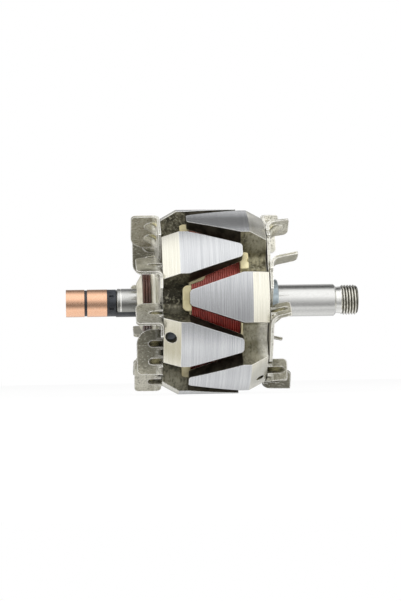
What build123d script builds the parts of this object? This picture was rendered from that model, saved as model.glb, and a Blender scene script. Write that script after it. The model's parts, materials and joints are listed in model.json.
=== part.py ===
"""Claw-pole alternator rotor.

The shaft lies along X with the threaded drive end at +X and the slip rings at -X. The origin is on the
shaft's axis, in the plane where the two pole halves meet. Angles are measured about the shaft in degrees,
from the -Y side upwards. Lengths are in millimetres.
"""

from build123d import *
import os
from math import acos, cos, degrees, hypot, radians, sin, sqrt

# Claw poles
CLAWS = 6
CLAW_PITCH = 360 / CLAWS
POLE_RADIUS = 49.0
POLE_HALF_LENGTH = 27.1
WEB_THICKNESS = 13.3
FACE_CHAMFER_LENGTH = 8.8
FACE_CHAMFER_DEPTH = 4.9
CLAW_WIDTH = 25.8
CLAW_TIP_WIDTH = 7.4
CLAW_TIP_CORNER = 2.2
CLAW_OVERLAP = 13.8
CLAW_ROOT_THICKNESS = 8.5
CLAW_TIP_THICKNESS = 4.6
VALLEY_DEPTH = 15.0
VALLEY_FILLET = 3.0
FRONT_BOSS_RADIUS = 26.0
FRONT_BOSS_HEIGHT = 0.6
POLE_CORE_RADIUS = 24.0

# Balance drillings: the angle, distance from the middle plane and diameter of each, and their depth
BALANCE_DRILL_DEPTH = 4.5
REAR_BALANCE_HOLE = (-25.5, 23.4, 5.9)
FRONT_BALANCE_HOLE = (-63.0, 23.6, 4.0)
DRILL_POINT_HEIGHT = 0.3

# Field coil and its bobbin
COIL_INNER_RADIUS = 25.6
COIL_CORNER = 0.45
CLAW_CLEARANCE = 0.6
BOBBIN_CLEARANCE = 0.1
BOBBIN_WALL = 1.2
BOBBIN_FLANGE_THICKNESS = 0.9
PETAL_THICKNESS = 0.8
PETAL_LENGTH = 8.4
PETAL_ROOT_WIDTH = 25.2
PETAL_END_WIDTH = 19.6
PETAL_CORNER = 3.0
REAR_PETAL_TURN = -1.3
LUG_HEIGHT = 4.2
LUG_ROOT = 1.5
LUG_REACH = 3.3
LUG_ROUNDING = 0.6
FRONT_LUG_WIDTH = 9.8
FRONT_LUG_TURN = -3.0
FRONT_LUG_CORNER = 1.2
FRONT_LUG_GROOVE = 0.9
REAR_LUG_WIDTH = 13.2
REAR_LUG_CORNER = 2.5

# Shaft
FRONT_JOURNAL_RADIUS = 8.5
POLE_SEAT_RADIUS = 8.8
REAR_JOURNAL_RADIUS = 7.5
FAN_SEAT_RADIUS = 8.7
SPOOL_SEAT_RADIUS = 7.8
RING_SEAT_RADIUS = 4.0
FRONT_JOURNAL_LENGTH = 31.1
REAR_JOURNAL_LENGTH = 11.0
NECK_RADIUS = 7.05
NECK_LENGTH = 1.9
THREAD_RADIUS = 8.0
THREAD_LENGTH = 10.0
THREAD_CHAMFER = 1.1
JOURNAL_CHAMFER = 0.9
CENTRE_HOLE_RADIUS = 2.2

# Spacer against the front fan
SPACER_RADIUS = 11.4
SPACER_LENGTH = 6.1
SPACER_CHAMFER = 0.5

# Fans. Each blade has its angle at the outer end, the sweep to its inner end, its height, the radii of
# its inner and outer free corners, and the shares of its length where gussets are pressed
FAN_TIP_RADIUS = 47.0
FAN_BORE_CLEARANCE = 0.3
BEND_FLAT = 1.0
BEND_RELIEF = 1.2
GUSSET_LEG = 7.4
GUSSET_GROOVE_RADIUS = 1.6
FRONT_SHEET = 1.6
FRONT_BEND_RADIUS = 4.0
FRONT_RIM_RADIUS = 44.0
FRONT_BLADE_INNER_RADIUS = 36.5
FRONT_BLADE_LEAN = 12.0
FRONT_BLADES = (
    (60.5, 7, 12.6, 2.4, 1.6, (0.5,)),
    (26.4, 3, 15.0, 2.4, 1.6, ()),
    (-12.6, 7, 10.7, 2.4, 1.6, (0.5,)),
    (-65.6, 7, 10.4, 2.4, 1.6, (0.5,)),
    (-97.6, 7, 14.7, 2.4, 1.6, (0.5,)),
    (-126.0, 7, 10.5, 2.4, 1.6, (0.5,)),
    (-158.1, 7, 14.6, 2.4, 1.6, ()),
    (-191.0, 7, 10.5, 2.4, 1.6, (0.5,)),
    (-236.0, 7, 10.5, 2.4, 1.6, ()),
    (-262.6, 7, 10.0, 2.4, 1.6, (0.5,)),
)
REAR_SHEET = 1.4
REAR_BEND_RADIUS = 1.5
REAR_RIM_RADIUS = 45.0
REAR_BLADE_INNER_RADIUS = 31.0
REAR_BLADE_LEAN = 0.0
REAR_BLADES = (
    (74.4, 24, 15.0, 7.0, 2.5, (0.31, 0.69)),
    (16.9, 29, 13.4, 4.0, 4.0, (0.5,)),
    (-15.4, 12, 13.9, 4.5, 2.3, (0.52,)),
    (-55.0, 26, 13.4, 7.8, 2.5, (0.29, 0.68)),
    (-89.6, 24, 14.2, 6.0, 2.0, (0.26, 0.66)),
    (-124.6, 24, 14.2, 6.0, 2.5, (0.31, 0.69)),
    (-165.0, 20, 13.4, 3.0, 2.5, (0.5,)),
    (-193.6, 24, 14.2, 6.0, 2.5, (0.31, 0.69)),
    (-235.6, 24, 13.5, 6.0, 2.5, (0.31, 0.69)),
)

# Slip rings on their moulding
RING_RADIUS = 7.25
RING_WALL = 1.1
OUTER_RING_LENGTH = 9.7
INNER_RING_LENGTH = 10.4
RING_GAP = 1.5
RING_GAP_STEP = 0.35
COLLAR_LENGTH = 4.8
COLLAR_STEP = 0.1
COLLAR_NOTCH_WIDTH = 1.6
COLLAR_NOTCH_DEPTH = 0.8
COLLAR_NOTCH_ANGLES = (25, -25, 115, 205)
STRIP_FLAT_HEIGHT = 5.1
BAR_THICKNESS = 0.7
BAR_WIDTH = 1.6
BAR_SPACING = 4.0
BAR_DEPTH = 5.6
BAR_INNER_DEPTH = 4.7

# Terminal spool with the lead turns
SPOOL_LENGTH = 12.3
SPOOL_BASE_LENGTH = 2.7
SPOOL_BASE_RADIUS = 15.0
SPOOL_FLANGE_RADIUS = 16.3
SPOOL_FLANGE_THICKNESS = 1.9
SPOOL_GROOVE_RADIUS = 14.4
SPOOL_GROOVE_LENGTH = 5.0
SPOOL_END_RADIUS = 10.5
LEAD_DIAMETER = 1.4
LEAD_HOLE_RADIUS = 27.0
LEAD_BEND = 2.2
LEAD_PITCH = 1.45
LEAD_CLEARANCE = 0.45
LEAD_END_ANGLE = -98.0
CROSSING_ANGLE = -105.0
CROSSING_SWEEP = 36.0
CROSSING_LIFT = 0.1
SLEEVE_WALL = 0.6
SLEEVE_CLEARANCE = 0.1
START_LEAD_ANGLE = -104.0
FINISH_LEAD_ANGLE = -120.0
SOLDER_RADIUS = 1.1

# Radii that follow from the claws
VALLEY_FLOOR_RADIUS = POLE_RADIUS - VALLEY_DEPTH
PETAL_OUTER_RADIUS = POLE_RADIUS - CLAW_ROOT_THICKNESS - CLAW_CLEARANCE
PETAL_INNER_RADIUS = PETAL_OUTER_RADIUS - PETAL_THICKNESS
COIL_OUTER_RADIUS = PETAL_INNER_RADIUS - BOBBIN_CLEARANCE
LUG_BOTTOM_RADIUS = PETAL_OUTER_RADIUS - LUG_ROOT

# Places along the shaft
WEB_INNER = POLE_HALF_LENGTH - WEB_THICKNESS
CHAMFER_START = POLE_HALF_LENGTH - FACE_CHAMFER_LENGTH
FLANGE_OUTER = WEB_INNER - BOBBIN_CLEARANCE
FLANGE_INNER = FLANGE_OUTER - BOBBIN_FLANGE_THICKNESS
COIL_HALF_LENGTH = FLANGE_INNER - BOBBIN_CLEARANCE
FRONT_FAN_SEAT = POLE_HALF_LENGTH + FRONT_BOSS_HEIGHT
SPACER_SEAT = FRONT_FAN_SEAT + FRONT_SHEET
FRONT_JOURNAL_START = SPACER_SEAT + SPACER_LENGTH
NECK_START = FRONT_JOURNAL_START + FRONT_JOURNAL_LENGTH
THREAD_START = NECK_START + NECK_LENGTH
SHAFT_FRONT_END = THREAD_START + THREAD_LENGTH
SPOOL_END = -(POLE_HALF_LENGTH + SPOOL_LENGTH)
REAR_JOURNAL_END = SPOOL_END - REAR_JOURNAL_LENGTH
INNER_RING_START = REAR_JOURNAL_END - COLLAR_LENGTH
INNER_RING_END = INNER_RING_START - INNER_RING_LENGTH
OUTER_RING_START = INNER_RING_END - RING_GAP
OUTER_RING_END = OUTER_RING_START - OUTER_RING_LENGTH
GROOVE_START = -(POLE_HALF_LENGTH + SPOOL_BASE_LENGTH + SPOOL_FLANGE_THICKNESS)
GROOVE_END = GROOVE_START - SPOOL_GROOVE_LENGTH
LEAD_TURN_RADIUS = SPOOL_GROOVE_RADIUS + LEAD_DIAMETER / 2
LEAD_TURN = degrees(acos(LEAD_TURN_RADIUS / LEAD_HOLE_RADIUS))


def around(shape, angle):
    """A shape that was built on the -Y side, turned about the shaft by an angle."""
    return Rot(-angle, 0, 0) * shape


def facing_rear(shape):
    """A shape of the +X side, turned end for end about the Z axis."""
    return Rot(0, 0, 180) * shape


def turned(*corners):
    """A solid of revolution about the shaft, from (x, radius) corners."""
    return revolve(make_face(Polyline(*corners, close=True)), Axis.X)


def ring(start, end, inner, outer):
    return turned((start, inner), (start, outer), (end, outer), (end, inner))


def radial_plane(radius):
    """The plane square to the -Y direction at a radius, with x along the shaft, facing outwards."""
    return Plane(origin=(0, -radius, 0), x_dir=(1, 0, 0), z_dir=(0, -1, 0))


def radial_prism(outline, inner, outer):
    """An outline in (x, across) extruded outwards along -Y between two radii."""
    return extrude(radial_plane(inner) * outline, outer - inner)


def claw():
    """One claw of the front pole, on the -Y side, from the web to its tip."""
    envelope = turned(
        (-CLAW_OVERLAP, POLE_RADIUS),
        (CHAMFER_START, POLE_RADIUS),
        (POLE_HALF_LENGTH, POLE_RADIUS - FACE_CHAMFER_DEPTH),
        (POLE_HALF_LENGTH, POLE_CORE_RADIUS),
        (WEB_INNER, POLE_CORE_RADIUS),
        (WEB_INNER, POLE_RADIUS - CLAW_ROOT_THICKNESS),
        (-CLAW_OVERLAP, POLE_RADIUS - CLAW_TIP_THICKNESS),
    )
    half = (
        (-CLAW_OVERLAP, CLAW_TIP_WIDTH / 2),
        (WEB_INNER, CLAW_WIDTH / 2),
        (POLE_HALF_LENGTH, CLAW_WIDTH / 2),
    )
    other_half = [(x, -across) for x, across in reversed(half)]
    outline = make_face(Polyline(*half, *other_half, close=True))
    tip_corners = outline.vertices().group_by(Axis.X)[0]
    outline = fillet(tip_corners, CLAW_TIP_CORNER)
    return envelope & radial_prism(outline, VALLEY_FLOOR_RADIUS / 2, POLE_RADIUS + 1)


def on_valley_corner(edge):
    """True for the edges where a claw's flank meets the floor of a valley."""
    centre = edge.center()
    on_floor = abs(hypot(centre.Y, centre.Z) - VALLEY_FLOOR_RADIUS) < 0.01
    return on_floor and abs(edge.length - WEB_THICKNESS) < 0.01


def pole():
    """A pole half: the web with its claws, on the +X side of the middle plane."""
    web = ring(WEB_INNER, POLE_HALF_LENGTH, POLE_SEAT_RADIUS, VALLEY_FLOOR_RADIUS)
    one_claw = claw()
    web += [around(one_claw, number * CLAW_PITCH) for number in range(CLAWS)]
    corners = web.edges().filter_by(GeomType.LINE).filter_by(on_valley_corner)
    return fillet(corners, VALLEY_FILLET)


def balance_hole(angle, distance, diameter):
    """A drilling with a pointed floor into the chamfered face, for removing unbalance."""
    radius = diameter / 2
    surface = POLE_RADIUS - FACE_CHAMFER_DEPTH * (distance - CHAMFER_START) / FACE_CHAMFER_LENGTH
    floor = surface - BALANCE_DRILL_DEPTH
    outline = Polyline(
        (0, floor - DRILL_POINT_HEIGHT * diameter),
        (radius, floor),
        (radius, POLE_RADIUS + 1),
        (0, POLE_RADIUS + 1),
        close=True,
    )
    drill = revolve(make_face(outline), Axis.Y)
    return around(Pos(distance, 0, 0) * Rot(180, 0, 0) * drill, angle)


def front_pole():
    boss = ring(POLE_HALF_LENGTH, FRONT_FAN_SEAT, POLE_SEAT_RADIUS, FRONT_BOSS_RADIUS)
    return pole() + boss - balance_hole(*FRONT_BALANCE_HOLE)


def rear_pole():
    """The pole half of the slip ring end, with the two passages for the coil's leads."""
    body = around(facing_rear(pole()), CLAW_PITCH / 2)
    angle, distance, diameter = REAR_BALANCE_HOLE
    body -= mirror(balance_hole(angle, distance, diameter), Plane.YZ)
    return body - lead_passages(LEAD_DIAMETER / 2 + SLEEVE_WALL + SLEEVE_CLEARANCE)


def pole_core():
    return ring(-WEB_INNER, WEB_INNER, POLE_SEAT_RADIUS, POLE_CORE_RADIUS)


def petals(turn):
    """The bobbin's tongues that lie over the coil on the +X side, one under each claw."""
    tip = FLANGE_OUTER - PETAL_LENGTH
    shell = ring(tip, FLANGE_OUTER, PETAL_INNER_RADIUS, PETAL_OUTER_RADIUS)
    root, end = PETAL_ROOT_WIDTH / 2, PETAL_END_WIDTH / 2
    outline = make_face(
        Polyline((tip, -end), (tip, end), (FLANGE_OUTER, root), (FLANGE_OUTER, -root), close=True)
    )
    outline = fillet(outline.vertices().group_by(Axis.X)[0], PETAL_CORNER)
    tongue = shell & radial_prism(outline, PETAL_INNER_RADIUS / 2, PETAL_OUTER_RADIUS + 1)
    return [around(tongue, turn + number * CLAW_PITCH) for number in range(CLAWS)]


def lug(width, corner, groove=0):
    """A lug of the front flange, on the -Y side, that keys the bobbin in a valley."""
    start, end = FLANGE_INNER, WEB_INNER + LUG_REACH
    outline = Pos((start + end) / 2, 0) * Rectangle(end - start, width)
    outline = fillet(outline.vertices().group_by(Axis.X)[-1], corner)
    if groove:
        outline -= Pos(end, 0) * Circle(groove)
    block = radial_prism(outline, LUG_BOTTOM_RADIUS, LUG_BOTTOM_RADIUS + LUG_HEIGHT)
    top = block.faces().sort_by(Axis.Y)[0]
    front_edges = [edge for edge in top.edges() if edge.center().X > start + 0.01]
    return fillet(front_edges, LUG_ROUNDING)


def bobbin_half(petal_turn, lugs):
    """The half of the bobbin on the +X side: half of the tube, a flange, petals and lugs."""
    tube_inner = POLE_CORE_RADIUS + BOBBIN_CLEARANCE
    tube_outer = tube_inner + BOBBIN_WALL
    body = turned(
        (0, tube_inner),
        (0, tube_outer),
        (FLANGE_INNER, tube_outer),
        (FLANGE_INNER, PETAL_OUTER_RADIUS),
        (FLANGE_OUTER, PETAL_OUTER_RADIUS),
        (FLANGE_OUTER, tube_inner),
    )
    return body + petals(petal_turn) + lugs


def coil_bobbin():
    """The moulded bobbin: two-lobed lugs in every second valley at the front, plain ones at the rear."""
    valleys = [CLAW_PITCH * (number + 0.5) for number in range(CLAWS)]
    front_lug = lug(FRONT_LUG_WIDTH, FRONT_LUG_CORNER, FRONT_LUG_GROOVE)
    rear_lug = lug(REAR_LUG_WIDTH, REAR_LUG_CORNER)
    front = bobbin_half(0, [around(front_lug, angle + FRONT_LUG_TURN) for angle in valleys[::2]])
    rear = bobbin_half(-REAR_PETAL_TURN, [around(rear_lug, angle) for angle in valleys])
    return front + around(facing_rear(rear), CLAW_PITCH / 2) - lead_passages(LEAD_DIAMETER / 2)


def field_coil():
    """The winding as one body, with its rims eased where the end turns lie."""
    body = ring(-COIL_HALF_LENGTH, COIL_HALF_LENGTH, COIL_INNER_RADIUS, COIL_OUTER_RADIUS)
    rims = body.edges().filter_by(GeomType.CIRCLE).group_by(SortBy.RADIUS)[-1]
    return chamfer(rims, COIL_CORNER)


def lead_strip():
    """The segment of the rear journal and of the spool's seat below the flat, for the conductors."""
    outer = turned(
        (REAR_JOURNAL_END, 0),
        (REAR_JOURNAL_END, REAR_JOURNAL_RADIUS),
        (SPOOL_END, REAR_JOURNAL_RADIUS),
        (SPOOL_END, SPOOL_SEAT_RADIUS),
        (GROOVE_START, SPOOL_SEAT_RADIUS),
        (GROOVE_START, 0),
    )
    length = GROOVE_START - REAR_JOURNAL_END
    depth = SPOOL_SEAT_RADIUS
    middle = Pos((GROOVE_START + REAR_JOURNAL_END) / 2, 0, -STRIP_FLAT_HEIGHT - depth / 2)
    return outer & middle * Box(length, 4 * depth, depth)


def centre_hole(end, inwards):
    """A lathe centre: a cone into the end of the shaft."""
    return turned((end, 0), (end, CENTRE_HOLE_RADIUS), (end + inwards * sqrt(3) * CENTRE_HOLE_RADIUS, 0))


def shaft():
    """The shaft, with a flat under the rear journal for the lead strip."""
    tip = OUTER_RING_END + RING_GAP_STEP
    body = turned(
        (tip, 0),
        (tip, RING_SEAT_RADIUS),
        (REAR_JOURNAL_END, RING_SEAT_RADIUS),
        (REAR_JOURNAL_END, REAR_JOURNAL_RADIUS - JOURNAL_CHAMFER),
        (REAR_JOURNAL_END + JOURNAL_CHAMFER, REAR_JOURNAL_RADIUS),
        (SPOOL_END, REAR_JOURNAL_RADIUS),
        (SPOOL_END, SPOOL_SEAT_RADIUS),
        (-POLE_HALF_LENGTH, SPOOL_SEAT_RADIUS),
        (-POLE_HALF_LENGTH, POLE_SEAT_RADIUS),
        (FRONT_FAN_SEAT, POLE_SEAT_RADIUS),
        (FRONT_FAN_SEAT, FAN_SEAT_RADIUS),
        (FRONT_JOURNAL_START, FAN_SEAT_RADIUS),
        (FRONT_JOURNAL_START, FRONT_JOURNAL_RADIUS),
        (NECK_START - JOURNAL_CHAMFER, FRONT_JOURNAL_RADIUS),
        (NECK_START, FRONT_JOURNAL_RADIUS - JOURNAL_CHAMFER),
        (NECK_START, NECK_RADIUS),
        (THREAD_START, NECK_RADIUS),
        (THREAD_START + THREAD_CHAMFER / 2, THREAD_RADIUS),
        (SHAFT_FRONT_END - THREAD_CHAMFER, THREAD_RADIUS),
        (SHAFT_FRONT_END, THREAD_RADIUS - THREAD_CHAMFER),
        (SHAFT_FRONT_END, 0),
    )
    body -= centre_hole(tip, 1)
    body -= centre_hole(SHAFT_FRONT_END, -1)
    return body - lead_strip()


def front_spacer():
    body = ring(SPACER_SEAT, FRONT_JOURNAL_START, FAN_SEAT_RADIUS, SPACER_RADIUS)
    rims = body.edges().filter_by(GeomType.CIRCLE).group_by(SortBy.RADIUS)[-1]
    return chamfer(rims, SPACER_CHAMFER)


def fan_point(radius, angle):
    """A point in the plane of the fan, as (y, z)."""
    return Vector(-radius * cos(radians(angle)), radius * sin(radians(angle)))


class Blade:
    """One blade of a fan on the +X side: the bend line in the fan's plane, and its outward normal."""

    def __init__(self, inner_radius, tip_angle, sweep, height, inner_corner, outer_corner, gussets):
        outer = fan_point(FAN_TIP_RADIUS, tip_angle)
        inner = fan_point(inner_radius, tip_angle + sweep)
        self.length = (inner - outer).length
        self.along = (inner - outer) / self.length
        self.out = Vector(-self.along.Y, self.along.X)
        self.outer = outer
        self.height = height
        self.corners = (inner_corner, outer_corner)
        self.gussets = [share * self.length for share in gussets]

    def plane(self, distance):
        """The plane across the bend, with x outwards and y along the shaft."""
        point = self.outer + self.along * distance
        return Plane(
            origin=(0, point.X, point.Y),
            x_dir=(0, self.out.X, self.out.Y),
            z_dir=(0, self.along.X, self.along.Y),
        )


def free_corners(strip, sheet):
    """The short edges at the free end of a bent strip, the one nearest to the shaft first."""
    free_end = strip.faces().filter_by(GeomType.PLANE).sort_by(Axis.X)[-1]
    ends = [edge for edge in free_end.edges() if abs(edge.length - sheet) < 0.01]
    return sorted(ends, key=lambda edge: hypot(edge.center().Y, edge.center().Z))


def bent_strip(blade, sheet, bend_radius, lean):
    """A blade with its bend and a narrow flat that joins the disc."""
    rise = blade.height - sheet / 2
    path = FilletPolyline(
        (-bend_radius - sheet - BEND_FLAT, sheet / 2),
        (-sheet / 2, sheet / 2),
        (-sheet / 2 + rise * sin(radians(lean)), sheet / 2 + rise * cos(radians(lean))),
        radius=bend_radius + sheet / 2,
    )
    strip = extrude(blade.plane(0) * trace(path, sheet), blade.length)
    inner_corner, outer_corner = blade.corners
    strip = fillet(free_corners(strip, sheet)[0], inner_corner)
    return fillet(free_corners(strip, sheet)[-1], outer_corner)


def gusset(blade, distance, radius, inner_side):
    """A rounded channel that crosses the bend at 45 degrees, for the pressed groove or its back."""
    floor = GUSSET_LEG / sqrt(2)
    across = blade.plane(distance)
    slope = (across.x_dir + across.y_dir).normalized()
    inwards = (across.y_dir - across.x_dir).normalized()
    section = Plane(origin=across.origin, x_dir=inwards, z_dir=slope)
    centre = floor - GUSSET_GROOVE_RADIUS
    outline = Pos(centre / 2 - radius, 0) * Rectangle(centre + 2 * radius, 2 * radius)
    outline += Pos(centre, 0) * Circle(radius)
    channel = extrude(section * outline, 2 * GUSSET_LEG, both=True)
    if not inner_side:
        return channel
    reach = 3 * GUSSET_LEG
    quadrant = across * Pos(-reach / 2, reach / 2, 0) * Box(reach, reach, reach)
    return channel & quadrant


def stamped_fan(rows, inner_radius, sheet, bend_radius, rim, bore, lean):
    """A fan on the +X side of x = 0: a disc whose notches are the blanks of its bent blades."""
    blanks = [Circle(bore)]
    strips = []
    grooves = []
    bend = bend_radius + sheet
    overrun = FAN_TIP_RADIUS - inner_radius
    for row in rows:
        blade = Blade(inner_radius, *row)
        corner = blade.outer - blade.along * overrun - blade.out * bend
        long_side = blade.along * (overrun + blade.length)
        short_side = blade.out * (bend + blade.height)
        blank = Polyline(
            corner, corner + long_side, corner + long_side + short_side, corner + short_side, close=True
        )
        end = corner + long_side
        blanks += [make_face(blank), Pos(end.X, end.Y) * Circle(BEND_RELIEF)]
        strips.append(bent_strip(blade, sheet, bend_radius, lean))
        for distance in blade.gussets:
            strips.append(gusset(blade, distance, GUSSET_GROOVE_RADIUS + sheet, True))
            grooves.append(gusset(blade, distance, GUSSET_GROOVE_RADIUS, False))
    disc = Circle(rim) - blanks
    fan = extrude(Plane.YZ * disc, sheet) + strips - grooves
    return fan & ring(0, 2 * rim, bore, FAN_TIP_RADIUS)


def front_fan():
    fan = stamped_fan(
        FRONT_BLADES, FRONT_BLADE_INNER_RADIUS, FRONT_SHEET, FRONT_BEND_RADIUS, FRONT_RIM_RADIUS,
        FAN_SEAT_RADIUS, FRONT_BLADE_LEAN,
    )
    return Pos(FRONT_FAN_SEAT, 0, 0) * fan


def rear_fan():
    fan = stamped_fan(
        REAR_BLADES, REAR_BLADE_INNER_RADIUS, REAR_SHEET, REAR_BEND_RADIUS, REAR_RIM_RADIUS,
        SPOOL_BASE_RADIUS + FAN_BORE_CLEARANCE, REAR_BLADE_LEAN,
    )
    fan = mirror(Pos(POLE_HALF_LENGTH, 0, 0) * fan, Plane.YZ)
    return fan - lead_passages(LEAD_DIAMETER / 2 + SLEEVE_WALL + SLEEVE_CLEARANCE)


def slip_ring(start, end):
    return ring(start, end, RING_RADIUS - RING_WALL, RING_RADIUS)


def strand_station(strand):
    """Where a strand of the leads lies along the shaft, counted from the spool's flange."""
    return GROOVE_START - LEAD_DIAMETER / 2 - LEAD_CLEARANCE - LEAD_PITCH * strand


def conductor(start, end, strand, side):
    """A bent bar from the inside of a slip ring, along the flat, up to its lead in the spool's groove."""
    bend = REAR_JOURNAL_END - BAR_THICKNESS / 2
    lead_end = strand_station(strand)
    path = Polyline(
        ((start + end) / 2, -RING_RADIUS),
        ((start + end) / 2, -BAR_INNER_DEPTH),
        (bend - BAR_THICKNESS, -BAR_INNER_DEPTH),
        (bend, -BAR_DEPTH),
        (lead_end, -BAR_DEPTH),
        (lead_end, -LEAD_TURN_RADIUS),
    )
    bar = extrude(Plane.XZ * trace(path, BAR_THICKNESS), BAR_WIDTH / 2, both=True)
    bar = Pos(0, side * BAR_SPACING / 2, 0) * bar
    beyond_ring = ring(start, end, RING_RADIUS - RING_WALL, 2 * RING_RADIUS)
    beyond_groove = ring(GROOVE_START, GROOVE_END, SPOOL_GROOVE_RADIUS, 2 * SPOOL_GROOVE_RADIUS)
    return bar - [beyond_ring, beyond_groove]


def outer_ring_conductor():
    return conductor(OUTER_RING_START, OUTER_RING_END, 2, -1)


def inner_ring_conductor():
    return conductor(INNER_RING_START, INNER_RING_END, 0, 1)


def slip_ring_moulding():
    """The insulating body of the slip rings, with its notched collar and the strip along the journal."""
    seat = RING_RADIUS - RING_WALL
    gap_radius = RING_RADIUS - RING_GAP_STEP
    collar_radius = RING_RADIUS - COLLAR_STEP
    body = turned(
        (OUTER_RING_END, RING_SEAT_RADIUS),
        (OUTER_RING_END, seat),
        (OUTER_RING_START, seat),
        (OUTER_RING_START, gap_radius),
        (INNER_RING_END, gap_radius),
        (INNER_RING_END, seat),
        (INNER_RING_START, seat),
        (INNER_RING_START, collar_radius),
        (REAR_JOURNAL_END, collar_radius),
        (REAR_JOURNAL_END, RING_SEAT_RADIUS),
    )
    notch = Pos((INNER_RING_START + REAR_JOURNAL_END) / 2, -collar_radius, 0) * Box(
        COLLAR_LENGTH / 2, 2 * COLLAR_NOTCH_DEPTH, COLLAR_NOTCH_WIDTH
    )
    for angle in COLLAR_NOTCH_ANGLES:
        body -= around(notch, angle)
    body += lead_strip()
    return body - outer_ring_conductor() - inner_ring_conductor()


def terminal_spool():
    """The insulating hub on the rear journal, with the groove that the leads are wound into."""
    base_end = -(POLE_HALF_LENGTH + SPOOL_BASE_LENGTH)
    body = turned(
        (-POLE_HALF_LENGTH, SPOOL_SEAT_RADIUS),
        (-POLE_HALF_LENGTH, SPOOL_BASE_RADIUS),
        (base_end, SPOOL_BASE_RADIUS),
        (base_end, SPOOL_FLANGE_RADIUS),
        (GROOVE_START, SPOOL_FLANGE_RADIUS),
        (GROOVE_START, SPOOL_GROOVE_RADIUS),
        (GROOVE_END, SPOOL_GROOVE_RADIUS),
        (GROOVE_END, LEAD_TURN_RADIUS),
        (SPOOL_END, SPOOL_END_RADIUS),
        (SPOOL_END, SPOOL_SEAT_RADIUS),
    )
    return body - outer_ring_conductor() - inner_ring_conductor()


def groove_point(strand, angle, radius=LEAD_TURN_RADIUS):
    """A point on the middle line of the leads, with an angle that counts on through the turns."""
    return Vector(strand_station(strand), -radius * cos(radians(angle)), radius * sin(radians(angle)))


def lead(passage_angle, strands):
    """A coil lead: out of the coil, through the rear pole, in to the spool and round its groove."""
    angle = passage_angle - LEAD_TURN
    touch = groove_point(strands[0], angle)
    corner = groove_point(strands[0], passage_angle, LEAD_HOLE_RADIUS)
    inwards = (touch - corner).normalized()
    forwards = Vector(1, 0, 0)
    bend_start = corner + forwards * LEAD_BEND
    bend_end = corner + inwards * LEAD_BEND
    bend_middle = corner + (forwards + inwards) * LEAD_BEND * (1 - 1 / sqrt(2))
    route = [
        Edge.make_line(Vector(-COIL_HALF_LENGTH, corner.Y, corner.Z), bend_start),
        Edge.make_three_point_arc(bend_start, bend_middle, bend_end),
        Edge.make_line(bend_end, touch),
    ]
    for strand, following in zip(strands, strands[1:]):
        crossing = CROSSING_ANGLE - 360
        after = crossing - CROSSING_SWEEP
        halfway = (crossing + after) / 2
        middle = groove_point((strand + following) / 2, halfway, LEAD_TURN_RADIUS + CROSSING_LIFT)
        tangents = [Vector(0, -sin(radians(a)), -cos(radians(a))) for a in (crossing, after)]
        route += [
            Edge.make_three_point_arc(
                touch, groove_point(strand, (angle + crossing) / 2), groove_point(strand, crossing)
            ),
            Edge.make_spline(
                [groove_point(strand, crossing), middle, groove_point(following, after)], tangents=tangents
            ),
        ]
        angle = after
        touch = groove_point(following, after)
    last = LEAD_END_ANGLE - 360 * len(strands)
    route.append(
        Edge.make_three_point_arc(
            touch, groove_point(strands[-1], (angle + last) / 2), groove_point(strands[-1], last)
        )
    )
    wire = Wire(route)
    section = Plane(origin=wire @ 0, z_dir=wire % 0) * Circle(LEAD_DIAMETER / 2)
    return sweep(section, wire)


def start_lead():
    return lead(START_LEAD_ANGLE, (0,))


def finish_lead():
    return lead(FINISH_LEAD_ANGLE, (1, 2))


def lead_passages(radius):
    """The two round passages, parallel to the shaft, from the coil out past the rear fan."""
    length = POLE_HALF_LENGTH + SPOOL_BASE_LENGTH - COIL_HALF_LENGTH
    hole = Pos(-COIL_HALF_LENGTH - length / 2, -LEAD_HOLE_RADIUS, 0) * Cylinder(
        radius, length, rotation=(0, 90, 0)
    )
    return around(hole, START_LEAD_ANGLE) + around(hole, FINISH_LEAD_ANGLE)


def sleeve(angle):
    """An insulating tube round a lead, from the bobbin's flange to just past the rear fan."""
    start, end = -FLANGE_OUTER, -(POLE_HALF_LENGTH + REAR_SHEET + 1)
    tube = Cylinder(LEAD_DIAMETER / 2 + SLEEVE_WALL, start - end, rotation=(0, 90, 0))
    tube -= Cylinder(LEAD_DIAMETER / 2, start - end, rotation=(0, 90, 0))
    return around(Pos((start + end) / 2, -LEAD_HOLE_RADIUS, 0) * tube, angle)


def solder_joint(strand, side):
    """A bead of solder on the end of a lead, over the end of its conductor."""
    top = SPOOL_GROOVE_RADIUS + LEAD_DIAMETER
    station = strand_station(strand)
    bead = Pos(station, side * BAR_SPACING / 2, -top) * Sphere(SOLDER_RADIUS)
    return bead - start_lead() - finish_lead()


PIECES = {
    "shaft": shaft(),
    "front_pole": front_pole(),
    "rear_pole": rear_pole(),
    "pole_core": pole_core(),
    "field_coil": field_coil(),
    "coil_bobbin": coil_bobbin(),
    "front_fan": front_fan(),
    "rear_fan": rear_fan(),
    "front_spacer": front_spacer(),
    "slip_ring_outer": slip_ring(OUTER_RING_START, OUTER_RING_END),
    "slip_ring_inner": slip_ring(INNER_RING_START, INNER_RING_END),
    "slip_ring_moulding": slip_ring_moulding(),
    "outer_ring_conductor": outer_ring_conductor(),
    "inner_ring_conductor": inner_ring_conductor(),
    "terminal_spool": terminal_spool(),
    "start_lead": start_lead(),
    "finish_lead": finish_lead(),
    "start_lead_sleeve": sleeve(START_LEAD_ANGLE),
    "finish_lead_sleeve": sleeve(FINISH_LEAD_ANGLE),
    "outer_solder_joint": solder_joint(2, -1),
    "inner_solder_joint": solder_joint(0, 1),
}

os.makedirs("parts", exist_ok=True)
for name, piece in PIECES.items():
    export_step(piece, f"parts/{name}.step")
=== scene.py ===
import json
import random
from math import cos, pi, radians, sin

import bmesh
import bpy
from mathutils import Matrix, Vector


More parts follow.
